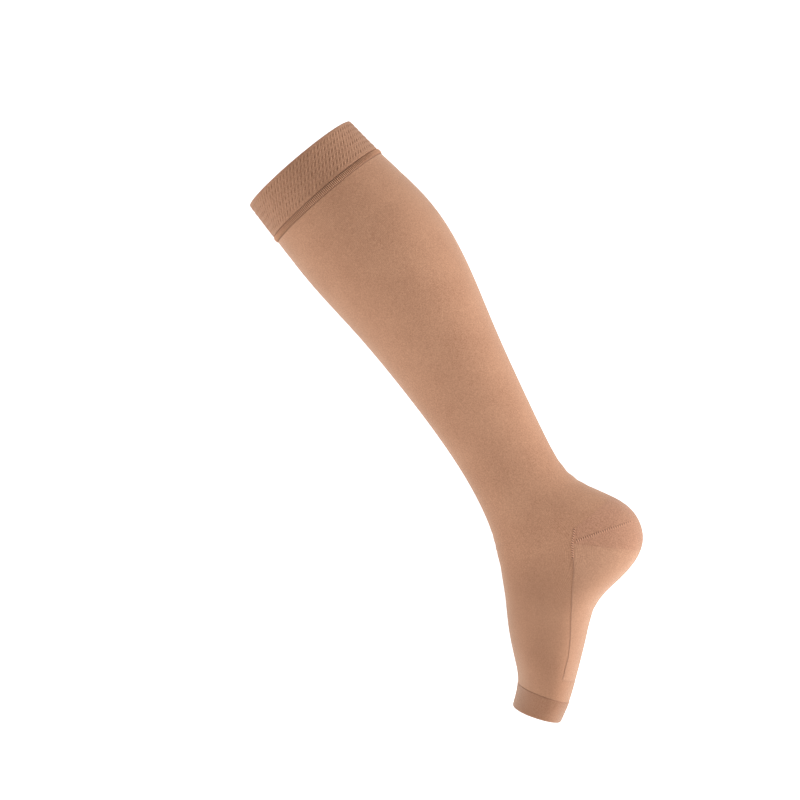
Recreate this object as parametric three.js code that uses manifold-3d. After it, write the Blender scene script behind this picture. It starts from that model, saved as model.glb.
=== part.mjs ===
// An open-toe compression stocking that ends below the knee, in the hollow form it has when it is worn: the shin
// leans back, the heel is lifted and the toes point down. It is a thin knitted tube in six pieces: a patterned top
// band, the ribbed welt that joins it, the leg with its instep, the heel pocket, the sole and the toe band.
//
// Millimetres. The stocking is shaped upright in the leg's own frame (x towards the calf, y across, z up the shin,
// origin at the middle of the top opening), and one group then leans it back about y.
import * as THREE from "three";
import { mergeVertices } from "three/addons/utils/BufferGeometryUtils.js";
import Module from "manifold-3d";

const wasm = await Module();
wasm.setup();

// ---------------------------------------------------------------- driving dimensions
const LEAN = 35; // degrees that the shin leans back
const SEAM_GAP = 0.3; // between neighbouring pieces
const AROUND = 36; // facets round every ring

const KNIT = { wall: 1.2, proud: 0 }; // wall thickness, and how far it stands out from the form
const BAND = { wall: 1.8, proud: 0.4 };
const WELT = { wall: 2.2, proud: 0.9, height: 5.6 };
const TOE_BAND = { wall: 1.6, proud: 0.3 };

const RING_PITCH = { band: 8, leg: 15, foot: 9, toe: 8 }; // the longest step between rings

// The worn form, ring by ring from the opening to the toes. A ring's middle lies "down" the shin from the opening and
// "back" towards the calf. It is "depth" from front to back and "width" from side to side, and its back edge drops by
// "tilt" degrees. "power" is 2 for an ellipse and more for a squarer ring, and "egg" widens its back half.
const FORM = [
  { ring: "opening", down: 0, back: 0, depth: 106.6, width: 100, tilt: -5, power: 2, egg: 0.02 },
  { ring: "band hem", down: 37.8, back: 4, depth: 111.6, width: 104.2, tilt: -5.5, power: 2, egg: 0.03 },
  { ring: "calf", down: 92, back: 10.8, depth: 118, width: 109, tilt: -2, power: 2, egg: 0.05 },
  { ring: "below calf", down: 140, back: 12.3, depth: 109, width: 101, tilt: 0, power: 2, egg: 0.05 },
  { ring: "mid shin", down: 200, back: 8.6, depth: 91.5, width: 84, tilt: 0, power: 2, egg: 0.04 },
  { ring: "low shin", down: 262, back: 3.6, depth: 78, width: 68, tilt: 1, power: 2.05, egg: 0.02 },
  { ring: "ankle", down: 299, back: -0.4, depth: 73.6, width: 61, tilt: 3, power: 2.1, egg: 0 },
  { ring: "tendon", down: 334, back: -2.4, depth: 80, width: 62, tilt: 8.5, power: 2.15, egg: -0.02 },
  { ring: "heel top", down: 351, back: 1.1, depth: 95.4, width: 65, tilt: 12, power: 2.25, egg: -0.02 },
  { ring: "heel back", down: 372, back: 4.8, depth: 116.5, width: 66, tilt: 18, power: 2.4, egg: 0 },
  { ring: "heel", down: 389, back: -0.6, depth: 118.4, width: 66, tilt: 25, power: 2.5, egg: 0.02 },
  { ring: "heel base", down: 399.5, back: -13.5, depth: 104.6, width: 68, tilt: 30.5, power: 2.45, egg: 0.04 },
  { ring: "arch", down: 411.2, back: -35.2, depth: 76.6, width: 73, tilt: 34.5, power: 2.3, egg: 0.06 },
  { ring: "midfoot", down: 431.4, back: -54.3, depth: 63.2, width: 80, tilt: 40, power: 2.25, egg: 0.08 },
  { ring: "ball", down: 454.3, back: -72.1, depth: 50.8, width: 87, tilt: 48, power: 2.25, egg: 0.08 },
  { ring: "toe hem", down: 468.6, back: -84.2, depth: 43.6, width: 86, tilt: 53, power: 2.25, egg: 0.06 },
  { ring: "toe edge", down: 480.2, back: -99.2, depth: 40, width: 80, tilt: 51, power: 2.2, egg: 0.04 },
];

// Where the knit changes, seen from the side. The heel pocket opens backwards from the gore, and the sole runs from
// there to just short of the toe hem.
const GORE_TOP = { down: 371, back: 12 };
const GORE = { down: 380, back: 3.4 };
const HEEL_TOP_LINE = [{ down: 368, back: 80 }, GORE_TOP, GORE];
const HEEL_BASE_LINE = [GORE, { down: 447, back: 78 }];
const SOLE_LINE = [
  GORE,
  { down: 390, back: -3.2 },
  { down: 398.5, back: -8.4 },
  { down: 413, back: -20.6 },
  { down: 428.2, back: -32.4 },
  { down: 443.4, back: -44 },
  { down: 452, back: -51.8 },
  { down: 459, back: -60.2 },
  { down: 464.2, back: -66.2 },
  { down: 490, back: -44.5 },
];
const LINE_SPAN = 160; // how far across the leg a seam's cut reaches

// ---------------------------------------------------------------- the form between its rings
const radians = THREE.MathUtils.degToRad;

// The front and back ends of a ring, as (back, down) points.
function ringEnds(row) {
  const turn = radians(row.tilt);
  return [-0.5, 0.5].map(
    (side) =>
      new THREE.Vector2(
        row.back + side * row.depth * Math.cos(turn),
        row.down + side * row.depth * Math.sin(turn),
      ),
  );
}

// A ring's place along the stocking: the mean of how far its front and back ends have travelled from the opening.
const PLACE = [0];
for (let i = 1; i < FORM.length; i++) {
  const [front, back] = ringEnds(FORM[i]);
  const [frontBefore, backBefore] = ringEnds(FORM[i - 1]);
  PLACE.push(PLACE[i - 1] + (front.distanceTo(frontBefore) + back.distanceTo(backBefore)) / 2);
}
const placeOf = (name) => PLACE[FORM.findIndex((row) => row.ring === name)];

// The second derivatives of the natural cubic spline through one column of FORM.
function bends(values) {
  const last = values.length - 1;
  const share = [0];
  const rest = [0];
  for (let i = 1; i < last; i++) {
    const before = PLACE[i] - PLACE[i - 1];
    const after = PLACE[i + 1] - PLACE[i];
    const turn = (values[i + 1] - values[i]) / after - (values[i] - values[i - 1]) / before;
    const scale = 2 * (before + after) - before * share[i - 1];
    share.push(after / scale);
    rest.push((6 * turn - before * rest[i - 1]) / scale);
  }
  const found = new Array(last + 1).fill(0);
  for (let i = last - 1; i > 0; i--) found[i] = rest[i] - share[i] * found[i + 1];
  return found;
}

const COLUMNS = ["down", "back", "depth", "width", "tilt", "power", "egg"];
const BENDS = Object.fromEntries(COLUMNS.map((name) => [name, bends(FORM.map((row) => row[name]))]));

// The ring at any place between the opening and the toe edge.
function ringAt(place) {
  let i = 1;
  while (i < PLACE.length - 1 && PLACE[i] < place) i++;
  const span = PLACE[i] - PLACE[i - 1];
  const b = (place - PLACE[i - 1]) / span;
  const a = 1 - b;
  const bow = (name) => ((a ** 3 - a) * BENDS[name][i - 1] + (b ** 3 - b) * BENDS[name][i]) * (span ** 2 / 6);
  return Object.fromEntries(
    COLUMNS.map((name) => [name, a * FORM[i - 1][name] + b * FORM[i][name] + bow(name)]),
  );
}

const rounded = (value, power) => Math.sign(value) * Math.abs(value) ** (2 / power);

// A point of the form. angle is 0 at the front and a half turn at the back.
function formPoint(place, angle) {
  const ring = ringAt(place);
  const turn = radians(ring.tilt);
  const deep = (-ring.depth / 2) * rounded(Math.cos(angle), ring.power);
  const wide = (ring.width / 2) * rounded(Math.sin(angle), ring.power) * (1 - ring.egg * Math.cos(angle));
  return new THREE.Vector3(ring.back + deep * Math.cos(turn), wide, -ring.down - deep * Math.sin(turn));
}

// The same point moved out along the form's normal.
function proudPoint(place, angle, out) {
  const step = 0.01;
  const along = formPoint(place + step, angle).sub(formPoint(place - step, angle));
  const across = formPoint(place, angle + step).sub(formPoint(place, angle - step));
  return formPoint(place, angle).addScaledVector(across.cross(along).normalize(), out);
}

// ---------------------------------------------------------------- knitted walls
// Ring places from start to end, no further apart than pitch.
function places(start, end, pitch) {
  const steps = Math.ceil((end - start) / pitch);
  return Array.from({ length: steps + 1 }, (_, i) => start + ((end - start) * i) / steps);
}

// A tube's wall through rings at these places. out gives how far its outside stands proud at each ring.
function tubeWall(at, wall, out) {
  const rings = at.length;
  const positions = [];
  for (const depth of [0, wall])
    at.forEach((place, i) => {
      for (let j = 0; j < AROUND; j++)
        positions.push(...proudPoint(place, (j / AROUND) * 2 * Math.PI, out(i) - depth));
    });
  const vertex = (layer, i, j) => (layer * rings + i) * AROUND + (j % AROUND);
  const faces = [];
  const quad = (a, b, c, d) => faces.push(a, b, c, a, c, d);
  for (let j = 0; j < AROUND; j++) {
    for (let i = 0; i + 1 < rings; i++) {
      quad(vertex(0, i, j), vertex(0, i, j + 1), vertex(0, i + 1, j + 1), vertex(0, i + 1, j));
      quad(vertex(1, i, j), vertex(1, i + 1, j), vertex(1, i + 1, j + 1), vertex(1, i, j + 1));
    }
    const end = rings - 1;
    quad(vertex(0, 0, j), vertex(1, 0, j), vertex(1, 0, j + 1), vertex(0, 0, j + 1));
    quad(vertex(0, end, j), vertex(0, end, j + 1), vertex(1, end, j + 1), vertex(1, end, j));
  }
  const geometry = new THREE.BufferGeometry();
  geometry.setAttribute("position", new THREE.Float32BufferAttribute(positions, 3));
  geometry.setIndex(faces);
  return geometry;
}

// ---------------------------------------------------------------- cutting the knit along its seams
function solidOf(geometry) {
  const plain = geometry.clone();
  plain.deleteAttribute("normal");
  plain.deleteAttribute("uv");
  const merged = mergeVertices(plain, 1e-4);
  return new wasm.Manifold(
    new wasm.Mesh({
      numProp: 3,
      vertProperties: merged.attributes.position.array,
      triVerts: new Uint32Array(merged.index.array),
    }),
  );
}

function geometryOf(solid) {
  const mesh = solid.getMesh();
  const geometry = new THREE.BufferGeometry();
  geometry.setAttribute("position", new THREE.BufferAttribute(mesh.vertProperties, 3));
  geometry.setIndex(new THREE.BufferAttribute(mesh.triVerts, 1));
  return geometry;
}

// A thin slab right across the leg for each stretch of a seam line.
function seamCuts(line) {
  return line.slice(1).map((to, i) => {
    const from = line[i];
    const run = new THREE.Vector2(to.back - from.back, to.down - from.down);
    const slab = new THREE.BoxGeometry(run.length() + SEAM_GAP, LINE_SPAN, SEAM_GAP);
    slab.rotateY(run.angle());
    slab.translate((from.back + to.back) / 2, 0, -(from.down + to.down) / 2);
    return solidOf(slab);
  });
}

// The knitted tube, cut along the heel's and the sole's edges into its three pieces, the largest first.
function knitPieces() {
  const start = placeOf("band hem") + SEAM_GAP;
  const turn = placeOf("tendon");
  const end = placeOf("toe hem") - SEAM_GAP / 2;
  const at = [...places(start, turn, RING_PITCH.leg), ...places(turn, end, RING_PITCH.foot).slice(1)];
  let knit = solidOf(tubeWall(at, KNIT.wall, () => KNIT.proud));
  for (const line of [HEEL_TOP_LINE, HEEL_BASE_LINE, SOLE_LINE])
    for (const cut of seamCuts(line)) knit = knit.subtract(cut);
  return knit.decompose().sort((a, b) => b.volume() - a.volume());
}

// ---------------------------------------------------------------- the pieces
const stocking = new THREE.Group();
stocking.rotation.y = -radians(LEAN);

function add(name, geometry, colour) {
  const material = new THREE.MeshStandardMaterial({ color: colour, roughness: 0.85, metalness: 0 });
  const flat = geometry.toNonIndexed();
  flat.computeVertexNormals();
  const mesh = new THREE.Mesh(flat, material);
  mesh.name = name;
  stocking.add(mesh);
}

const TAN = 0xb98a6b;
const BAND_TAN = 0xa87c5c;
const HEEL_TAN = 0xb8866a;

const hem = placeOf("band hem");
const bandEnd = hem - WELT.height;
add("top_band", tubeWall(places(0, bandEnd - SEAM_GAP, RING_PITCH.band), BAND.wall, () => BAND.proud), BAND_TAN);

// The welt is a rib, so its middle ring stands out furthest.
const WELT_RISE = [0.4, 1, 0.4];
const weltRings = [bandEnd, (bandEnd + hem) / 2, hem];
add("band_welt", tubeWall(weltRings, WELT.wall, (i) => WELT.proud * WELT_RISE[i]), BAND_TAN);

const [leg, sole, heel] = knitPieces();
add("leg", geometryOf(leg), TAN);
add("heel", geometryOf(heel), HEEL_TAN);
add("sole", geometryOf(sole), HEEL_TAN);

const toeHem = placeOf("toe hem") + SEAM_GAP / 2;
const toeEdge = placeOf("toe edge");
add("toe_band", tubeWall(places(toeHem, toeEdge, RING_PITCH.toe), TOE_BAND.wall, () => TOE_BAND.proud), BAND_TAN);

export default stocking;
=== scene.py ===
"""A tan open-toe compression stocking that ends below the knee, hollow, in the form it has when it is worn.

The worn form is a run of rings from the opening to the toes. Every piece is a thin wall on that form: the top
band with its tuck stitches, the ribbed welt, the leg with its instep, the heel pocket, the sole and the toe
band, with the stitches that join them. Sizes are in millimetres in the leg's own frame (x towards the calf,
y across, z up the shin, origin at the middle of the top opening); to_scene leans that frame back and turns it
into metres.
"""

import math

import bmesh
import bpy
import numpy as np
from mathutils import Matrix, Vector


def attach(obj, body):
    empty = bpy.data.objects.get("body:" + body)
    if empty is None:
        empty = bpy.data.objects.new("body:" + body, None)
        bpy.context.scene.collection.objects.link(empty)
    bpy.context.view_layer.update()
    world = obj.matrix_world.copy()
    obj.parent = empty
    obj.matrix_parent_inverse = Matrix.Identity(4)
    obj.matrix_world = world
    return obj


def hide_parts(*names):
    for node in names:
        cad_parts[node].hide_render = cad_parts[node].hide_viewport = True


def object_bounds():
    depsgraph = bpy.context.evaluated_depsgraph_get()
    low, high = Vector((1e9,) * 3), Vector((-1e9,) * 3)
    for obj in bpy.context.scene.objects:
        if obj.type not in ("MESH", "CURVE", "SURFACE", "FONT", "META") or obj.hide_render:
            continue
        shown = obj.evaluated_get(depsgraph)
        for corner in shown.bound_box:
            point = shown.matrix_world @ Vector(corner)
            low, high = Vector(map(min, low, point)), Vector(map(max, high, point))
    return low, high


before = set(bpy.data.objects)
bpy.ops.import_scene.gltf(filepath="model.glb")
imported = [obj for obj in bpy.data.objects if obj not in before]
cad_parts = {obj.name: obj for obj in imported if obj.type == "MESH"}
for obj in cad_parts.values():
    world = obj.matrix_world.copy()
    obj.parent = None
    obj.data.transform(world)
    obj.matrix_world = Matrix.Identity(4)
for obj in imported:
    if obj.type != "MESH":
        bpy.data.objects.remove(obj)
cad_low, cad_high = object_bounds()

MM = 0.001
LEAN = math.radians(35)  # how far the shin leans back
TAU = 2 * math.pi

# ---------------------------------------------------------------- sizes
KNIT_WALL = 1.2
BAND = {"wall": 1.8, "proud": 0.4, "rows": 80}
WELT = {"wall": 1.8, "proud": 0.54, "height": 5.6, "rows": 22}
TOE_BAND = {"wall": 1.6, "proud": 0.3, "rows": 26}

NEEDLES = 300  # wales round the leg
COURSE = 1.0  # height of one knitted row
TUCK_COLUMNS = 94  # tuck stitches round the top band
TUCK_PITCH = 3.54  # from one tuck stitch to the next in its row
TUCK_ROW = 4.75  # from one row of tuck stitches to the next
TUCK_START = 4.25  # from the opening to the middle of the first row
TUCK_SLANT = 0.95  # how far a tuck stitch moves round the leg for each mm down it
TUCK_DEPTH = 0.34
TUCK_SEED = 5  # for how uneven the tuck stitches are
WELT_RIBS = 232
WELT_RIB_DEPTH = 0.3
STEPS_IN_A_TUCK = 10  # columns of the mesh for each tuck stitch round the band
STEPS_IN_A_RIB = 6  # columns of the mesh for each rib of the welt
TOE_STEPS = 360
MESH_PITCH = {"leg": 1.9, "heel": 0.7, "sole": 1.1}
HEEL_PLACES = (335, 445)  # a stretch of the tube that takes in the whole heel pocket
SOLE_PLACES = (370, 512)

# The two stitched seams of the heel: strips with a sunk slot and a raised strand for each stitch, with
# painted shade in the slots and a painted highlight on the strands.
MITRE_STITCH = {"pitch": 1.87, "width": 3.0, "slant": 0, "fade": 0.5}
GORE_STITCH = {"pitch": 1.9, "width": 2.2, "slant": 0.5, "fade": 0}
SEAM_STEPS = 8  # sections of the strip for each stitch
SEAM_SHARES = np.linspace(-1, 1, 13)  # points across the strip, from edge to edge
SEAM_SLOT = {"half": 0.36, "depth": 0.3}  # half is a share of the pitch
SEAM_STRAND = {"half": 0.42, "height": 0.1}
SEAM_CROWN = 0.36  # how far the middle of the strip stands out
SEAM_SUNK = 0.3  # how far its edges lie under the cloth
SEAM_UNDERSIDE = {"share": 0.6, "depth": 0.6}
# how strong the painted shade in the slots and the painted highlight on the strands are
SEAM_CONTRAST = 1.2
SEAM_HIGHLIGHT = 1.3  # how strong the painted highlight on a strand is for the painted shade in a slot
SOLE_THREAD_SIZE = {"radius": 0.17, "pitch": 1.9, "beside": 0.7}

# The worn form, ring by ring. A ring's middle lies down the shin from the opening and back towards the calf.
# It is depth from front to back and width from side to side, and its back edge drops by tilt degrees. power
# is 2 for an ellipse and more for a squarer ring, and egg widens its back half.
COLUMNS = ("down", "back", "depth", "width", "tilt", "power", "egg")
FORM = {
    "opening": (0, 0, 106.6, 100, -5, 2, 0.02),
    "band hem": (37.8, 4, 111.6, 104.2, -5.5, 2, 0.03),
    "calf": (92, 10.8, 118, 109, -2, 2, 0.05),
    "below calf": (140, 12.3, 109, 101, 0, 2, 0.05),
    "mid shin": (200, 8.6, 91.5, 84, 0, 2, 0.04),
    "low shin": (262, 3.6, 78, 68, 1, 2.05, 0.02),
    "ankle": (299, -0.4, 73.6, 61, 3, 2.1, 0),
    "tendon": (334, -2.4, 80, 62, 8.5, 2.15, -0.02),
    "heel top": (351, 1.1, 95.4, 65, 12, 2.25, -0.02),
    "heel back": (372, 4.8, 116.5, 66, 18, 2.4, 0),
    "heel": (389, -0.6, 118.4, 66, 25, 2.5, 0.02),
    "heel base": (399.5, -13.5, 104.6, 68, 30.5, 2.45, 0.04),
    "arch": (411.2, -35.2, 76.6, 73, 34.5, 2.3, 0.06),
    "midfoot": (431.4, -54.3, 63.2, 80, 40, 2.25, 0.08),
    "ball": (454.3, -72.1, 50.8, 87, 48, 2.25, 0.08),
    "toe hem": (468.6, -84.2, 43.6, 86, 53, 2.25, 0.06),
    "toe edge": (480.2, -99.2, 40, 80, 51, 2.2, 0.04),
}

# Seams seen from the side, as (down, back). The heel pocket opens backwards from the gore, a mitre crosses
# it, and the sole runs from the gore to just short of the toe hem.
GORE = (380, 3.4)
GORE_TOP = (371, 12)
HEEL_TOP_LINE = [(368, 80), GORE_TOP, GORE]
HEEL_BASE_LINE = [GORE, (447, 78)]
MITRE_LINE = [(380, 7), (386.5, 30), (394.5, 54)]
SOLE_SIDE_LINE = [
    GORE,
    (390, -3.2),
    (398.5, -8.4),
    (413, -20.6),
    (428.2, -32.4),
    (443.4, -44),
    (452, -51.8),
    (459, -60.2),
    (464.2, -66.2),
]
SOLE_LINE = [*SOLE_SIDE_LINE, (490, -44.5)]
GORE_LINE = [GORE_TOP, GORE, SOLE_SIDE_LINE[1]]  # where the stitches that close the heel show
HEEL_AREA = [*HEEL_TOP_LINE, (447, 78)]
SOLE_AREA = [*SOLE_LINE, (520, 60), (447, 78)]

# Soft creases: where each lies (place along the stocking, degrees round from the front), how long and wide it
# is, how far it slants, and how deep it is.
CREASES = [
    # place, round, length, width, slant, depth
    (330, 172, 46, 5.5, 4, 0.55),
    (339, 190, 38, 4.5, -6, 0.5),
    (346, 168, 30, 4.0, 9, 0.35),
    (321, 195, 30, 5.0, 12, 0.3),
    (352, 16, 34, 6.0, -8, 0.35),
    (366, -12, 42, 7.0, 5, 0.45),
    (379, 8, 26, 6.0, 14, 0.3),
    (497, 60, 22, 4.0, 20, 0.3),
    (505, 40, 26, 3.5, -9, 0.35),
    (503, -52, 30, 4.0, 8, 0.3),
    (458, 150, 30, 5.0, 16, 0.4),
    (447, 205, 36, 5.5, -12, 0.45),
    (60, 35, 60, 9.0, 3, 0.3),
    (74, -120, 70, 10.0, -5, 0.3),
    (62, 205, 64, 9.0, 4, 0.3),
]

# ---------------------------------------------------------------- the form between its rings
RINGS = {name: dict(zip(COLUMNS, row)) for name, row in FORM.items()}


def ring_ends(ring):
    """The front and back ends of a ring, as (back, down)."""
    turn = math.radians(ring["tilt"])
    half = np.array([math.cos(turn), math.sin(turn)]) * ring["depth"] / 2
    middle = np.array([ring["back"], ring["down"]])
    return middle - half, middle + half


def ring_places():
    """How far each ring lies along the stocking: the mean of how far its front and back ends have gone."""
    ends = [ring_ends(ring) for ring in RINGS.values()]
    steps = [
        (np.linalg.norm(b[0] - a[0]) + np.linalg.norm(b[1] - a[1])) / 2
        for a, b in zip(ends, ends[1:])
    ]
    return np.concatenate([[0], np.cumsum(steps)])


PLACES = ring_places()
PLACE = dict(zip(RINGS, PLACES))


def spline_bends(values):
    """The second derivatives of the natural cubic spline through values at PLACES."""
    count = len(PLACES)
    matrix = np.zeros((count, count))
    right = np.zeros(count)
    matrix[0, 0] = matrix[-1, -1] = 1
    for i in range(1, count - 1):
        before = PLACES[i] - PLACES[i - 1]
        after = PLACES[i + 1] - PLACES[i]
        matrix[i, i - 1 : i + 2] = before / 6, (before + after) / 3, after / 6
        right[i] = (values[i + 1] - values[i]) / after - (values[i] - values[i - 1]) / before
    return np.linalg.solve(matrix, right)


VALUES = {name: np.array([ring[name] for ring in RINGS.values()], float) for name in COLUMNS}
BENDS = {name: spline_bends(values) for name, values in VALUES.items()}


def ring_at(place):
    """Every column of FORM at these places."""
    i = np.clip(np.searchsorted(PLACES, place), 1, len(PLACES) - 1)
    span = PLACES[i] - PLACES[i - 1]
    b = (place - PLACES[i - 1]) / span
    a = 1 - b
    bow_a = (a**3 - a) * span**2 / 6
    bow_b = (b**3 - b) * span**2 / 6
    return {
        name: a * VALUES[name][i - 1]
        + b * VALUES[name][i]
        + bow_a * BENDS[name][i - 1]
        + bow_b * BENDS[name][i]
        for name in COLUMNS
    }


def girth_at(place):
    """Roughly how far it is round the form at these places."""
    ring = ring_at(place)
    return math.pi * (ring["depth"] + ring["width"]) / 2


def rounded(value, power):
    return np.sign(value) * np.abs(value) ** (2 / power)


def form_point(place, angle):
    """Points of the worn form. angle is 0 at the front and half a turn at the back."""
    ring = ring_at(place)
    turn = np.radians(ring["tilt"])
    deep = -ring["depth"] / 2 * rounded(np.cos(angle), ring["power"])
    wide = ring["width"] / 2 * rounded(np.sin(angle), ring["power"])
    wide = wide * (1 - ring["egg"] * np.cos(angle))
    return np.stack(
        [ring["back"] + deep * np.cos(turn), wide, -ring["down"] - deep * np.sin(turn)], axis=-1
    )


def form_normal(place, angle):
    step = 0.01
    along = form_point(place + step, angle) - form_point(place - step, angle)
    across = form_point(place, angle + step) - form_point(place, angle - step)
    normal = np.cross(across, along)
    return normal / np.linalg.norm(normal, axis=-1, keepdims=True)


def crease_height(place, angle):
    """The soft creases, as a height in mm at each point."""
    girth = girth_at(place)
    height = np.zeros(np.broadcast(place, angle).shape)
    for at, around, length, width, slant, depth in CREASES:
        swing = (angle - math.radians(around) + math.pi) % TAU - math.pi
        across = swing / TAU * girth
        along = place - at
        lean = math.radians(slant)
        u = across * math.cos(lean) + along * math.sin(lean)
        v = along * math.cos(lean) - across * math.sin(lean) + 0.0022 * across**2
        height -= depth * np.exp(-((2 * u / length) ** 2) - (2 * v / width) ** 2)
    return height


def worn_point(place, angle, out=0.0):
    """Points that stand out from the creased form by this much."""
    place, angle = np.broadcast_arrays(place, angle)
    lift = crease_height(place, angle) + out
    return form_point(place, angle) + form_normal(place, angle) * lift[..., None]


def to_scene(points):
    """From the leg's frame in millimetres to the scene's in metres."""
    x, y, z = np.moveaxis(np.asarray(points, float), -1, 0)
    sine, cosine = math.sin(LEAN), math.cos(LEAN)
    return np.stack([x * cosine - z * sine, y, x * sine + z * cosine], axis=-1) * MM


# ---------------------------------------------------------------- seams
def line_distance(points, line):
    """How far points (x, z in the leg's frame) lie from a side-view line."""
    nearest = np.full(points.shape[:-1], np.inf)
    for (down_a, back_a), (down_b, back_b) in zip(line, line[1:]):
        start = np.array([back_a, -down_a])
        run = np.array([back_b, -down_b]) - start
        share = np.clip(((points - start) @ run) / (run @ run), 0, 1)
        gap = np.linalg.norm(points - start - share[..., None] * run, axis=-1)
        nearest = np.minimum(nearest, gap)
    return nearest


def inside(x, z, area):
    """Is a side-view point inside an area?"""
    crossings = 0
    for (down_a, back_a), (down_b, back_b) in zip(area, area[1:] + area[:1]):
        if (-down_a > z) != (-down_b > z):
            meet = back_a + (z + down_a) / (down_a - down_b) * (back_b - back_a)
            crossings += x < meet
    return crossings % 2 == 1


def stations(line, pitch):
    """Points every pitch along a side-view line, as (x, z), with the direction of the line at each."""
    corners = np.array([(back, -down) for down, back in line], float)
    runs = np.diff(corners, axis=0)
    lengths = np.linalg.norm(runs, axis=1)
    reach = np.concatenate([[0], np.cumsum(lengths)])
    at = np.arange(pitch / 4, reach[-1], pitch)
    points = np.stack([np.interp(at, reach, corners[:, k]) for k in (0, 1)], axis=1)
    which = np.clip(np.searchsorted(reach, at) - 1, 0, len(runs) - 1)
    return points, runs[which] / lengths[which][:, None]


SEARCH_PLACES = np.linspace(PLACE["tendon"], PLACE["toe edge"], 240)[:, None]
SEARCH_ANGLES = np.linspace(math.pi, TAU, 240)[None, :]
SEARCH_POINTS = form_point(SEARCH_PLACES, SEARCH_ANGLES)[..., [0, 2]]


def on_form(x, z):
    """The place and angle, on the side where y is negative, of the form's point at a side-view point."""
    gap = np.linalg.norm(SEARCH_POINTS - np.array([x, z]), axis=-1)
    i, j = np.unravel_index(np.argmin(gap), gap.shape)
    state = np.array([SEARCH_PLACES[i, 0], SEARCH_ANGLES[0, j]])
    for _ in range(4):
        here = form_point(*state)[[0, 2]]
        step = 1e-3
        slope = np.stack(
            [
                (form_point(state[0] + step, state[1])[[0, 2]] - here) / step,
                (form_point(state[0], state[1] + step)[[0, 2]] - here) / step,
            ],
            axis=1,
        )
        state = state + np.linalg.lstsq(slope, np.array([x, z]) - here, rcond=None)[0]
    return state


# ---------------------------------------------------------------- meshes
def new_object(name, bm):
    mesh = bpy.data.meshes.new(name)
    bm.to_mesh(mesh)
    bm.free()
    mesh.shade_smooth()
    piece = bpy.data.objects.new(name, mesh)
    bpy.context.scene.collection.objects.link(piece)
    return piece


def knit_uv(place, angle):
    """Texture coordinates: wales round the tube, and courses down it."""
    return angle / TAU * NEEDLES, place / COURSE


def knit_sheet(name, start, end, pitch, keep):
    """A piece cut from the knitted tube between two places, along its seams. keep says which side-view points
    are in it."""
    rows = max(2, round((end - start) / pitch))
    place = np.linspace(start, end, rows + 1)[:, None]
    round_steps = round(girth_at(place).max() / pitch)
    angle = np.linspace(0, TAU, round_steps + 1)[None, :]
    points = worn_point(place, angle)

    bm = bmesh.new()
    uv = bm.loops.layers.uv.new("Knit")
    verts = [[bm.verts.new(p) for p in row] for row in points]
    for i in range(rows):
        for j in range(round_steps):
            corners = ((i, j), (i, j + 1), (i + 1, j + 1), (i + 1, j))
            face = bm.faces.new([verts[a][b] for a, b in corners])
            for loop, (a, b) in zip(face.loops, corners):
                loop[uv].uv = knit_uv(place[a, 0], angle[0, b])
    for line in (HEEL_TOP_LINE, HEEL_BASE_LINE, SOLE_LINE):
        cut_along(bm, line, pitch)
    unwanted = [f for f in bm.faces if not keep(*[f.calc_center_median()[k] for k in (0, 2)])]
    bmesh.ops.delete(bm, geom=unwanted, context="FACES")
    bmesh.ops.remove_doubles(bm, verts=bm.verts, dist=0.01)
    sink_seams(bm)
    thicken(bm, KNIT_WALL)
    lean_back(bm)
    return new_object(name, bm)


def thicken(bm, wall):
    """Gives an open sheet its wall, inwards, with crisp edges."""
    uv = bm.loops.layers.uv.active
    bm.normal_update()
    outside = list(bm.faces)
    rim = [edge.link_loops[0] for edge in bm.edges if edge.is_boundary]
    inner = {vert: bm.verts.new(vert.co - vert.normal * wall) for vert in list(bm.verts)}
    for face in outside:
        loops = list(face.loops)[::-1]
        back = bm.faces.new([inner[loop.vert] for loop in loops])
        for loop, twin in zip(loops, back.loops):
            twin[uv].uv = loop[uv].uv
    for loop in rim:
        a, b = loop.vert, loop.link_loop_next.vert
        bm.faces.new((b, a, inner[a], inner[b]))
        loop.edge.smooth = False
        bm.edges.get((inner[a], inner[b])).smooth = False


def cut_along(bm, line, pitch):
    """Splits the faces that a side-view line crosses."""
    for (down_a, back_a), (down_b, back_b) in zip(line, line[1:]):
        start = Vector((back_a, 0, -down_a))
        run = Vector((back_b, 0, -down_b)) - start
        length = run.length
        run.normalize()
        across = Vector((-run.z, 0, run.x))
        near = []
        for face in bm.faces:
            offset = face.calc_center_median() - start
            if abs(offset.dot(across)) < 2 * pitch and -2 * pitch < offset.dot(run) < length + 2 * pitch:
                near.append(face)
        edges = {e for f in near for e in f.edges}
        verts = {v for f in near for v in f.verts}
        bmesh.ops.bisect_plane(
            bm, geom=[*near, *edges, *verts], dist=1e-5, plane_co=start, plane_no=across
        )


SEAM_SINKS = [
    # line, how deep the cloth is pulled in, how wide, and how dark the painted shade along it is
    (SOLE_LINE, 0.12, 0.6, 0.25),
    (GORE_LINE, 0.1, 0.8, 0.1),
    (HEEL_TOP_LINE, 0.03, 1.2, 0.06),
    (HEEL_BASE_LINE, 0.03, 1.4, 0.06),
    (MITRE_LINE, 0.1, 1.0, 0.05),
]


def sink_seams(bm):
    """Draws the cloth in along its seams, and stores for each point the painted shade along them as an
    attribute.
    """
    seam = bm.verts.layers.float.new("Seam")
    bm.normal_update()
    spots = np.array([v.co for v in bm.verts])[:, [0, 2]]
    sink = np.zeros(len(spots))
    shade = np.zeros(len(spots))
    for line, depth, width, darkness in SEAM_SINKS:
        nearness = np.exp(-((line_distance(spots, line) / width) ** 2))
        sink = np.maximum(sink, depth * nearness)
        shade = np.maximum(shade, darkness * nearness)
    # painted shade along the seams
    for vert, deep, dark in zip(bm.verts, sink, shade):
        vert[seam] = dark
        vert.co -= vert.normal * deep


def lean_back(bm):
    """Moves a mesh from the leg's frame to the scene's."""
    moved = to_scene(np.array([v.co for v in bm.verts]))
    for vert, spot in zip(bm.verts, moved):
        vert.co = spot


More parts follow.
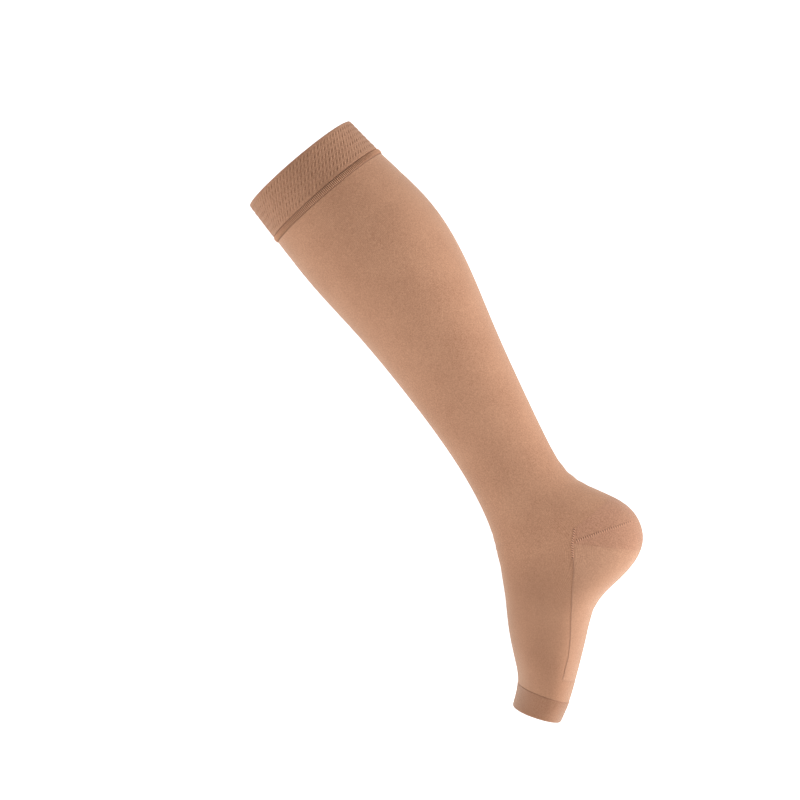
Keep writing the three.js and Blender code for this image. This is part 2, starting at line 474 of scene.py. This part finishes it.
def ring_wall(name, profile, around, relief):
    """A closed ring of cloth. profile goes once round its section as (place, out, share of the relief).
    relief is the function for how far stitches draw in at a place and angle, with how deep 1 of that is. The
    same values are stored as an attribute, which the band and welt materials turn into painted shade and
    highlights."""
    stitch, deep = relief
    place = np.array([p[0] for p in profile])[:, None]
    out = np.array([p[1] for p in profile])[:, None]
    share = np.array([p[2] for p in profile])[:, None]
    angle = np.arange(around)[None, :] / around * TAU
    pattern = stitch(place, angle) * share
    points = to_scene(worn_point(place, angle, out - deep * pattern))

    bm = bmesh.new()
    uv = bm.loops.layers.uv.new("Knit")
    # the relief is also stored, for painted shade where stitches sink and a painted highlight where they
    # stand up
    tuck = bm.verts.layers.float.new("StitchShade")
    verts = [[bm.verts.new(p) for p in row] for row in points]
    for row, values in zip(verts, np.broadcast_to(pattern, points.shape[:2])):
        for vert, value in zip(row, values):
            vert[tuck] = value
    count = len(profile)
    for i in range(count):
        for j in range(around):
            corners = ((i, j), (i, j + 1), (i + 1, j + 1), (i + 1, j))
            face = bm.faces.new([verts[a % count][b % around] for a, b in corners])
            for loop, (a, b) in zip(face.loops, corners):
                loop[uv].uv = knit_uv(place[a % count, 0], b / around * TAU)
    return new_object(name, bm)


def wall_profile(start, end, wall, proud, rows, crown=lambda share: 0.0, plain_rows=6):
    """A section with rounded edges: down the outside in rows, round the lower edge, up the inside, round the
    top. The relief dies out over plain_rows at each edge, or goes on over the edges if that is 0."""
    edge = wall / 2
    points = []
    for i in range(rows + 1):
        share = i / rows
        fade = min(1, i / plain_rows, (rows - i) / plain_rows) if plain_rows else 1
        points.append((start + edge + (end - start - wall) * share, proud + crown(share), fade))
    inner_rows = max(2, rows // 6)
    turn_steps = 4
    turns = [math.pi / 2 * (1 - 2 * i / turn_steps) for i in range(1, turn_steps)]
    over = 0 if plain_rows else 1
    points += [
        (end - edge + edge * math.cos(t), proud - edge + edge * math.sin(t), over * (t >= 0)) for t in turns
    ]
    for i in range(inner_rows + 1):
        share = 1 - i / inner_rows
        points.append((start + edge + (end - start - wall) * share, proud - wall, 0))
    points += [
        (start + edge - edge * math.cos(t), proud - edge - edge * math.sin(t), over * (t <= 0)) for t in turns
    ]
    return points


def bump(value, width):
    """1 in the middle of a repeat, falling smoothly to 0 at width on each side of it."""
    return np.clip(1 - (np.abs(value - 0.5) / width) ** 2, 0, 1) ** 1.5


def tuck_stitches(place, angle):
    """Rows of slanting tuck stitches, each a sunk slot with a strand standing up between it and the next. The
    same values carry painted shade into the slots and a painted highlight onto the strands.
    """
    row = (place - TUCK_START) / TUCK_ROW + 1.5
    line = np.floor(row).astype(int)
    down = (row - line - 0.5) * TUCK_ROW
    column = angle / TAU * TUCK_COLUMNS - TUCK_SLANT * down / TUCK_PITCH
    uneven = np.random.default_rng(TUCK_SEED).uniform(0.5, 1.2, (2, line.max() + 1, TUCK_COLUMNS))
    which = np.floor(column).astype(int) % TUCK_COLUMNS
    slot = bump(column % 1, 0.21) * bump(row % 1, 0.4) * uneven[0, line, which]
    strand = bump((column + 0.5) % 1, 0.21) * bump(row % 1, 0.4) * uneven[1, line, which]
    return slot - 0.8 * strand


def welt_ribs(place, angle):
    """Fine ribs across the welt, which is pulled in along its upper edge and more so along its lower one. The
    same values carry painted shade into the rib hollows and the two edge lines, and a painted highlight onto
    the rib crowns.
    """
    rib = np.cos(angle * WELT_RIBS)
    top, low = PLACE["band hem"] - WELT["height"], PLACE["band hem"]
    edges = 0.6 * np.exp(-(((place - top) / 0.5) ** 2)) + np.exp(-(((place - low) / 1.1) ** 2))
    return (1.6 * rib - 0.3) * (1 - edges) + 0.9 * edges


def no_stitches(place, angle):
    return np.zeros(np.broadcast(place, angle).shape)


# ---------------------------------------------------------------- threads
def thread_frame(x, z, side):
    """A point of the cloth at a side-view point, with the cloth's outward direction there, on one side."""
    place, angle = on_form(x, z)
    spot = worn_point(place, angle)
    normal = form_normal(place, angle)
    flip = np.array([1, side, 1])
    return spot * flip, normal * flip


def thread_tube(bm, path, radii, sides=6):
    """A round thread through these points, closed at both ends."""
    path = [Vector(p) for p in path]
    rings = []
    for i, spot in enumerate(path):
        ahead = (path[min(i + 1, len(path) - 1)] - path[max(i - 1, 0)]).normalized()
        up = Vector((0, 1, 0)).cross(ahead)
        if up.length < 0.1:
            up = Vector((1, 0, 0)).cross(ahead)
        up.normalize()
        other = ahead.cross(up)
        turns = [TAU * k / sides for k in range(sides)]
        rings.append(
            [bm.verts.new(spot + radii[i] * (math.cos(t) * up + math.sin(t) * other)) for t in turns]
        )
    for low, high in zip(rings, rings[1:]):
        for k in range(sides):
            after = (k + 1) % sides
            bm.faces.new((low[k], low[after], high[after], high[k]))
    bm.faces.new(rings[0][::-1])
    bm.faces.new(rings[-1])


def seam_axes(x, z, run, side):
    """A point of a seam on one side of the stocking, with the ways out of the cloth and across the seam."""
    spot, normal = thread_frame(x, z, -side)
    along = np.array([run[0], 0, run[1]])
    along = along - normal * (along @ normal)
    along /= np.linalg.norm(along)
    return spot, normal, np.cross(normal, along) * side


def stitched_seam(name, line, stitch):
    """A narrow strip of stitches along a seam, on both sides of the stocking: by turns a sunk slot in painted
    shade and a raised strand with a painted highlight. slant is how far a slot moves along for each mm
    across, and fade how much of the relief and of its painted shade and highlight is lost by the far end."""
    bm = bmesh.new()
    uv = bm.loops.layers.uv.new("Knit")
    stitch_shading = bm.verts.layers.float.new("StitchShade")
    pitch, width = stitch["pitch"], stitch["width"]
    points, runs = stations(line, pitch / SEAM_STEPS)
    for side in (-1, 1):
        sections = []
        for n, ((x, z), run) in enumerate(zip(points, runs)):
            spot, normal, across = seam_axes(x, z, run, side)
            left = 1 - stitch["fade"] * n / len(points)
            section = []
            for share in SEAM_SHARES:
                phase = n / SEAM_STEPS + stitch["slant"] * share * width / 2 / pitch
                dome = math.sqrt(max(0.0, 1 - share * share))
                slot = float(bump(phase % 1, SEAM_SLOT["half"])) * dome * left
                strand = float(bump((phase + 0.5) % 1, SEAM_STRAND["half"])) * dome * left
                lift = SEAM_CROWN * dome - SEAM_SUNK * (1 - dome)
                lift += SEAM_STRAND["height"] * strand - SEAM_SLOT["depth"] * slot
                vert = bm.verts.new(spot + across * share * width / 2 + normal * lift)
                # painted shade in each slot and a painted highlight on each strand
                vert[stitch_shading] = SEAM_CONTRAST * (slot - SEAM_HIGHLIGHT * strand)
                section.append(vert)
            for share in (SEAM_UNDERSIDE["share"], -SEAM_UNDERSIDE["share"]):
                under = spot + across * share * width / 2 - normal * SEAM_UNDERSIDE["depth"]
                section.append(bm.verts.new(under))
            sections.append(section)
        count = len(sections[0])
        for n, (here, ahead) in enumerate(zip(sections, sections[1:])):
            for k in range(count):
                after = (k + 1) % count
                face = bm.faces.new((here[k], here[after], ahead[after], ahead[k]))
                for loop, (i, j) in zip(face.loops, ((n, k), (n, k + 1), (n + 1, k + 1), (n + 1, k))):
                    loop[uv].uv = (i / SEAM_STEPS, j / count * width)
        bm.faces.new(sections[0][::-1])
        bm.faces.new(sections[-1])
    bmesh.ops.recalc_face_normals(bm, faces=bm.faces)
    lean_back(bm)
    return new_object(name, bm)


def edge_thread(name, line, radius, pitch):
    """A thread run along a seam on both sides, thick and thin by turns where each stitch pulls it in."""
    bm = bmesh.new()
    points, _ = stations(line, pitch / 4)
    for side in (-1, 1):
        frames = [thread_frame(x, z, -side) for x, z in points]
        path = [spot + normal * 0.05 for spot, normal in frames]
        radii = [radius * (1 + 0.28 * math.cos(TAU * i / 4)) for i in range(len(path))]
        thread_tube(bm, path, radii)
    bmesh.ops.recalc_face_normals(bm, faces=bm.faces)
    lean_back(bm)
    return new_object(name, bm)


# ---------------------------------------------------------------- materials
def node(tree, kind, inputs=None, **settings):
    made = tree.nodes.new(kind)
    for name, value in settings.items():
        setattr(made, name, value)
    for name, value in (inputs or {}).items():
        if isinstance(value, bpy.types.NodeSocket):
            tree.links.new(value, made.inputs[name])
        else:
            made.inputs[name].default_value = value
    return made


def math_node(tree, operation, a, b=0.0, clamp=False):
    return node(tree, "ShaderNodeMath", {0: a, 1: b}, operation=operation, use_clamp=clamp).outputs[0]


def mix_colour(tree, share, a, b):
    mixed = node(tree, "ShaderNodeMix", {0: share, 6: a, 7: b}, data_type="RGBA")
    return mixed.outputs[2]


def noise(tree, spot, scale, detail):
    """A noise between -0.5 and 0.5."""
    made = node(tree, "ShaderNodeTexNoise", {"Vector": spot, "Scale": scale, "Detail": detail})
    return math_node(tree, "SUBTRACT", made.outputs["Fac"], 0.5)


def wave(tree, value, power):
    """A row of soft humps, one for each whole number, between 0 and 1."""
    swing = math_node(tree, "SINE", math_node(tree, "MULTIPLY", value, math.pi))
    hump = math_node(tree, "ABSOLUTE", swing)
    return math_node(tree, "POWER", hump, power)


def linear(red, green, blue):
    """A colour given as 0 to 255 on a screen, as the light it stands for."""
    spread = [c / 255 for c in (red, green, blue)]
    return (*[c / 12.92 if c <= 0.04045 else ((c + 0.055) / 1.055) ** 2.4 for c in spread], 1.0)


# Towards the foot the knit is closer, and the cloth darkens partly for that and partly as painted shade.
DENSER_FROM = 385  # mm from the opening, where the cloth begins to get smoother and darker towards the foot
DENSER_OVER = 40
DENSER_AND_SHADE_SHARE = 0.11  # how much darker it gets, partly for the closer knit and partly as painted shade
SMOOTHER_SHARE = 0.4

# Noises in the yarn, as how many features go into a metre and how much they count for.
WANDER = {"scale": 90.0, "wales": 0.9}  # how far a wale strays
GRAIN = {"scale": 980.0, "tone": 2.2, "height": 1.2, "roughness": 0.3}
CLOUD = {"scale": 26.0, "tone": 0.7}
WALE_SHARPNESS, COURSE_SHARPNESS = 0.7, 0.6
STITCH_TONE, FLAT_TONE = 0.45, 0.3  # how light a stitch's crown is, and how light the cloth is between
STITCH_SHADING_TONE = 0.7  # how far the colour goes towards painted shade where a stitch sinks by 1, and towards a painted highlight where it stands up by 1
# how much lighter than the light colour the painted highlight on a standing strand is
HIGHLIGHT_GAIN = 1.15
BUMP_DEPTH = 0.0004
CLOTH_ROUGHNESS = 0.82
SHEEN_TINT = (1.0, 0.82, 0.68, 1.0)


def knit_material(
    name, light, dark, relief=0.25, speckle=0.5, shade_map=None, shade_dark=0.5, denser_shaded_foot=False, sheen=0.45
):
    """Fine knitted elastic cloth: V-shaped stitches in wales and courses, with uneven yarn. An attribute,
    when one is named, paints shade into the cloth where it is positive, down to a share of the dark colour,
    and paints a highlight where it is negative. Cloth set to close up towards the foot gets smoother there,
    and darker, partly for the closer knit and partly as painted shade."""
    material = bpy.data.materials.new(name)
    material.use_nodes = True
    tree = material.node_tree
    shader = tree.nodes["Principled BSDF"]
    uv = node(tree, "ShaderNodeUVMap", uv_map="Knit").outputs["UV"]
    parts = node(tree, "ShaderNodeSeparateXYZ", {0: uv})
    spot = node(tree, "ShaderNodeTexCoord").outputs["Object"]

    # the yarn wanders a little, so no wale is quite straight
    wander = noise(tree, spot, WANDER["scale"], 2.0)
    across = math_node(tree, "ADD", parts.outputs["X"], math_node(tree, "MULTIPLY", wander, WANDER["wales"]))
    arm = math_node(tree, "PINGPONG", across, 0.5)
    slanted = math_node(tree, "ADD", parts.outputs["Y"], arm)
    wales = wave(tree, across, WALE_SHARPNESS)
    courses = wave(tree, slanted, COURSE_SHARPNESS)
    stitches = math_node(tree, "MULTIPLY", wales, courses)

    fleck = noise(tree, spot, GRAIN["scale"], 2.0)
    mottle = noise(tree, spot, CLOUD["scale"], 3.0)
    flecks = math_node(tree, "MULTIPLY", fleck, GRAIN["tone"] * speckle)
    if denser_shaded_foot:
        grown = math_node(tree, "SUBTRACT", parts.outputs["Y"], DENSER_FROM / COURSE)
        share = math_node(tree, "DIVIDE", grown, DENSER_OVER / COURSE, clamp=True)
        left = math_node(tree, "SUBTRACT", 1.0, math_node(tree, "MULTIPLY", share, SMOOTHER_SHARE))
        flecks = math_node(tree, "MULTIPLY", flecks, left)
    tone = math_node(tree, "MULTIPLY", stitches, STITCH_TONE)
    tone = math_node(tree, "ADD", tone, FLAT_TONE)
    tone = math_node(tree, "ADD", tone, flecks)
    tone = math_node(tree, "ADD", tone, math_node(tree, "MULTIPLY", mottle, CLOUD["tone"]), clamp=True)
    colour = mix_colour(tree, tone, dark, light)
    # the colour of painted shade: the dark colour times a share
    deep = [c * shade_dark for c in dark[:3]] + [1.0]
    # darker towards the foot: partly the closer knit, partly painted shade
    if denser_shaded_foot:
        colour = mix_colour(tree, math_node(tree, "MULTIPLY", share, DENSER_AND_SHADE_SHARE), colour, deep)
    # painted shade where the attribute is positive, and a painted highlight where it is negative
    if shade_map:
        stitch_shading = node(tree, "ShaderNodeAttribute", attribute_name=shade_map).outputs["Fac"]
        shade_share = math_node(tree, "MULTIPLY", stitch_shading, STITCH_SHADING_TONE, clamp=True)
        highlight_share = math_node(tree, "MULTIPLY", stitch_shading, -STITCH_SHADING_TONE, clamp=True)
        highlight_colour = [min(1.0, c * HIGHLIGHT_GAIN) for c in light[:3]] + [1.0]
        colour = mix_colour(tree, shade_share, mix_colour(tree, highlight_share, colour, highlight_colour), deep)
    tree.links.new(colour, shader.inputs["Base Color"])

    height = math_node(tree, "ADD", stitches, math_node(tree, "MULTIPLY", fleck, GRAIN["height"]))
    bumps = node(tree, "ShaderNodeBump", {"Height": height, "Strength": relief, "Distance": BUMP_DEPTH})
    tree.links.new(bumps.outputs["Normal"], shader.inputs["Normal"])
    rough = math_node(tree, "MULTIPLY", fleck, GRAIN["roughness"])
    tree.links.new(math_node(tree, "ADD", rough, CLOTH_ROUGHNESS), shader.inputs["Roughness"])
    shader.inputs["Specular IOR Level"].default_value = 0.25
    shader.inputs["Sheen Weight"].default_value = sheen
    shader.inputs["Sheen Roughness"].default_value = 0.45
    shader.inputs["Sheen Tint"].default_value = SHEEN_TINT
    return material


def thread_material(name, colour):
    material = bpy.data.materials.new(name)
    material.use_nodes = True
    tree = material.node_tree
    shader = tree.nodes["Principled BSDF"]
    spot = node(tree, "ShaderNodeTexCoord").outputs["Object"]
    grain = node(tree, "ShaderNodeTexNoise", {"Vector": spot, "Scale": 1500.0, "Detail": 2.0})
    dark = [c * 0.7 for c in colour[:3]] + [1.0]
    tree.links.new(mix_colour(tree, grain.outputs["Fac"], dark, colour), shader.inputs["Base Color"])
    shader.inputs["Roughness"].default_value = 0.7
    shader.inputs["Sheen Weight"].default_value = 0.3
    return material


def backdrop_material():
    material = bpy.data.materials.new("White paper")
    material.use_nodes = True
    shader = material.node_tree.nodes["Principled BSDF"]
    shader.inputs["Base Color"].default_value = (0.9, 0.9, 0.9, 1)
    shader.inputs["Roughness"].default_value = 0.9
    shader.inputs["Specular IOR Level"].default_value = 0.0
    shader.inputs["Emission Color"].default_value = (1, 1, 1, 1)
    shader.inputs["Emission Strength"].default_value = 0.6
    return material


# ---------------------------------------------------------------- stage
def make_camera():
    """A level camera, straight on to the stocking's side."""
    data = bpy.data.cameras.new("Camera")
    data.lens = 98.8
    data.sensor_width = 36
    camera = bpy.data.objects.new("Camera", data)
    camera.location = (0.0822, -1.8, -0.1938)
    camera.rotation_euler = (math.pi / 2, 0, 0)
    bpy.context.scene.collection.objects.link(camera)
    bpy.context.scene.camera = camera


def make_backdrop():
    """A floor that curves up into a wall."""
    floor = cad_low.z - 0.03
    near, wall, height, bend = -3.0, 2.5, 2.6, 0.7
    section = [(near, floor)]
    for i in range(17):
        turn = math.pi / 2 * i / 16
        section.append((wall - bend + bend * math.sin(turn), floor + bend - bend * math.cos(turn)))
    section.append((wall, floor + height))
    bm = bmesh.new()
    lines = [[bm.verts.new((x, y, z)) for y, z in section] for x in (-3.0, 3.0)]
    for i in range(len(section) - 1):
        bm.faces.new((lines[0][i], lines[1][i], lines[1][i + 1], lines[0][i + 1]))
    backdrop = new_object("Backdrop", bm)
    backdrop.data.materials.append(backdrop_material())


def area_light(name, spot, target, size, power):
    data = bpy.data.lights.new(name, "AREA")
    data.shape = "RECTANGLE"
    data.size, data.size_y = size
    data.energy = power
    lamp = bpy.data.objects.new(name, data)
    lamp.location = spot
    lamp.rotation_euler = (Vector(target) - Vector(spot)).to_track_quat("-Z", "Y").to_euler()
    bpy.context.scene.collection.objects.link(lamp)


LIGHTS = [
    # name, where it stands, how wide and high it is, watts
    ("Left softbox", (-1.5, 0.1, 0.55), (0.8, 1.6), 9.6),
    ("Right softbox", (1.6, -0.1, 0.05), (0.8, 1.6), 25),
    ("Front softbox", (0.1, -1.5, 0.95), (1.4, 1.0), 4.3),
]
WORLD_LIGHT = 0.28


def make_lights():
    middle = ((cad_low + cad_high) / 2)[:]
    for name, spot, size, power in LIGHTS:
        area_light(name, spot, middle, size, power)
    world = bpy.data.worlds.new("World")
    world.use_nodes = True
    world.node_tree.nodes["Background"].inputs["Color"].default_value = (1, 1, 1, 1)
    world.node_tree.nodes["Background"].inputs["Strength"].default_value = WORLD_LIGHT
    bpy.context.scene.world = world
    bpy.context.scene.view_settings.view_transform = "Standard"


# ---------------------------------------------------------------- the stocking
LEG_LIGHT, LEG_DARK = linear(202, 153, 122), linear(166, 118, 90)
BAND_LIGHT, BAND_DARK = linear(192, 145, 116), linear(150, 106, 80)
HEEL_LIGHT, HEEL_DARK = linear(200, 150, 122), linear(166, 117, 91)
SOLE_LIGHT, SOLE_DARK = linear(208, 160, 130), linear(174, 126, 98)
TOE_LIGHT, TOE_DARK = linear(179, 133, 105), linear(144, 100, 75)
SOLE_THREAD = linear(184, 137, 109)


def finish_piece(piece, material, nodes=()):
    piece.data.materials.append(material)
    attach(piece, "root")
    if nodes:
        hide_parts(*nodes)


def make_top_band():
    end = PLACE["band hem"] - WELT["height"]
    profile = wall_profile(0, end, BAND["wall"], BAND["proud"], BAND["rows"])
    columns = TUCK_COLUMNS * STEPS_IN_A_TUCK
    piece = ring_wall("top_band_knit", profile, columns, (tuck_stitches, TUCK_DEPTH))
    cloth = knit_material("Band knit", BAND_LIGHT, BAND_DARK, speckle=0.9, shade_map="StitchShade", sheen=0.25)
    finish_piece(piece, cloth, ["top_band"])


def make_welt():
    start = PLACE["band hem"] - WELT["height"]
    profile = wall_profile(
        start,
        PLACE["band hem"],
        WELT["wall"],
        BAND["proud"],
        WELT["rows"],
        crown=lambda share: (WELT["proud"] - BAND["proud"]) * math.sin(math.pi * share) ** 0.5,
        plain_rows=0,
    )
    piece = ring_wall("band_welt_rib", profile, WELT_RIBS * STEPS_IN_A_RIB, (welt_ribs, WELT_RIB_DEPTH))
    cloth = knit_material(
        "Welt knit", BAND_LIGHT, BAND_DARK, relief=0.15, speckle=0.4, shade_map="StitchShade", sheen=0.25
    )
    finish_piece(piece, cloth, ["band_welt"])


def make_leg():
    def keep(x, z):
        return not inside(x, z, HEEL_AREA) and not inside(x, z, SOLE_AREA)

    piece = knit_sheet("leg_knit", PLACE["band hem"], PLACE["toe hem"], MESH_PITCH["leg"], keep)
    cloth = knit_material("Leg knit", LEG_LIGHT, LEG_DARK, speckle=0.8, shade_map="Seam", denser_shaded_foot=True)
    finish_piece(piece, cloth, ["leg"])


def make_heel(threads):
    piece = knit_sheet("heel_pocket", *HEEL_PLACES, MESH_PITCH["heel"], lambda x, z: inside(x, z, HEEL_AREA))
    cloth = knit_material("Heel knit", HEEL_LIGHT, HEEL_DARK, relief=0.4, speckle=1.0, shade_map="Seam")
    finish_piece(piece, cloth, ["heel"])


def make_sole():
    piece = knit_sheet("sole_knit", *SOLE_PLACES, MESH_PITCH["sole"], lambda x, z: inside(x, z, SOLE_AREA))
    cloth = knit_material(
        "Sole knit", SOLE_LIGHT, SOLE_DARK, relief=0.3, speckle=0.9, shade_map="Seam", denser_shaded_foot=True
    )
    finish_piece(piece, cloth, ["sole"])


def make_toe_band():
    start = PLACE["toe hem"]
    end = PLACE["toe edge"]
    profile = wall_profile(start, end, TOE_BAND["wall"], TOE_BAND["proud"], TOE_BAND["rows"])
    piece = ring_wall("toe_band_knit", profile, TOE_STEPS, (no_stitches, 0))
    cloth = knit_material("Toe knit", TOE_LIGHT, TOE_DARK)
    finish_piece(piece, cloth, ["toe_band"])


def make_threads():
    # the seam strips paint the shade in their slots down to a small share of the dark colour
    seam_knit = knit_material("Heel seam", HEEL_LIGHT, HEEL_DARK, speckle=0.4, shade_map="StitchShade", shade_dark=0.12)
    sole_thread = thread_material("Sole thread", SOLE_THREAD)
    mitre = stitched_seam("heel_mitre_stitches", MITRE_LINE, MITRE_STITCH)
    gore = stitched_seam("gore_stitches", GORE_LINE, GORE_STITCH)
    beside = [(down, back + SOLE_THREAD_SIZE["beside"]) for down, back in SOLE_SIDE_LINE[1:]]
    edge = edge_thread("sole_seam_thread", beside, SOLE_THREAD_SIZE["radius"], SOLE_THREAD_SIZE["pitch"])
    for piece, material in ((mitre, seam_knit), (gore, seam_knit), (edge, sole_thread)):
        finish_piece(piece, material)
    return [mitre, gore, edge]


make_camera()
make_top_band()
make_welt()
make_leg()
make_heel(make_threads())
make_sole()
make_toe_band()
make_backdrop()
make_lights()
